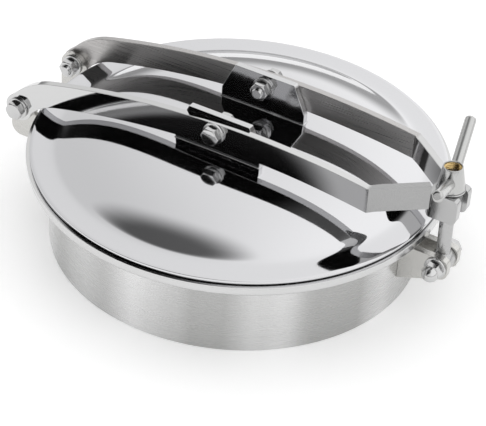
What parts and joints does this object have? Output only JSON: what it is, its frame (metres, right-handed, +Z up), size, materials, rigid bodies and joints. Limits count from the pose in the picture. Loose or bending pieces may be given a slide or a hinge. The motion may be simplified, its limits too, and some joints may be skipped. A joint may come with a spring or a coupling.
{
  "type": "tank manway cover",
  "caption": "Round tank manway: flanged neck with a domed lid hung between two hinged arms and closed by a swing bolt with a hand nut.",
  "frame": {"origin": "centre of the neck's bottom edge", "axes": "+Z up the neck's axis, +X from the hinge to the clamp, -Y towards the front arm"},
  "size_m": [0.5146, 0.448, 0.1969],
  "materials": {
    "polished_steel": "mirror-polished 304 stainless steel",
    "brushed_steel": "304 stainless steel brushed round the neck",
    "satin_steel": "satin-polished cast stainless steel",
    "fastener_steel": "bright turned stainless steel",
    "black_seal": "matt black EPDM",
    "brass": "machined brass"
  },
  "bodies": {
    "neck": {"neck_shell": "brushed_steel", "rim_ring": "polished_steel", "gasket": "black_seal", "hinge_lug_front": "polished_steel", "hinge_lug_back": "polished_steel", "hinge_bolt_front": "fastener_steel", "hinge_bolt_back": "fastener_steel", "hinge_washers": "fastener_steel", "hinge_nuts": "fastener_steel", "clamp_lug_front": "polished_steel", "clamp_lug_back": "polished_steel", "clamp_pin": "fastener_steel", "clamp_washers": "fastener_steel", "cap_nut": "fastener_steel"},
    "arms": {"arm_front": "polished_steel", "arm_back": "polished_steel", "clamp_fork": "polished_steel"},
    "lid": {"lid": "polished_steel", "lid_lug_front": "polished_steel", "lid_lug_back": "polished_steel", "lid_bolt_front": "fastener_steel", "lid_bolt_back": "fastener_steel", "lid_washers": "fastener_steel", "lid_nuts": "fastener_steel"},
    "swing_bolt": {"swing_bolt": "fastener_steel"},
    "washer": {"thrust_washer": "fastener_steel"},
    "hand_nut": {"nut_boss": "satin_steel", "brass_insert": "brass", "handle_rod_1": "satin_steel", "handle_rod_2": "satin_steel"}
  },
  "joints": [
    {"name": "arms_swing", "type": "hinge", "parent": "neck", "child": "arms", "pos_m": [-0.242, 0, 0.0965], "axis": [0, -1, 0], "range_deg": [0, 105]},
    {"name": "lid_rock", "type": "hinge", "parent": "arms", "child": "lid", "pos_m": [0, 0, 0.159], "axis": [0, -1, 0], "range_deg": [0, 3]},
    {"name": "bolt_swing", "type": "hinge", "parent": "neck", "child": "swing_bolt", "pos_m": [0.2403, 0, 0.065], "axis": [0, 1, 0], "range_deg": [0, 90]},
    {"name": "nut_lift", "type": "slide", "parent": "swing_bolt", "child": "washer", "axis": [-0.0297, 0, 0.9996], "range_m": [0, 0.009]},
    {"name": "nut_turn", "type": "hinge", "parent": "washer", "child": "hand_nut", "pos_m": [0.23763, 0, 0.15496], "axis": [-0.0297, 0, 0.9996], "range_deg": [0, 1440]}
  ],
  "couplings": [
    {"joint": "lid_rock", "follows": "arms_swing", "ratio": 0.025},
    {"joint": "nut_lift", "follows": "nut_turn", "m_per_rad": 0.00031831}
  ]
}
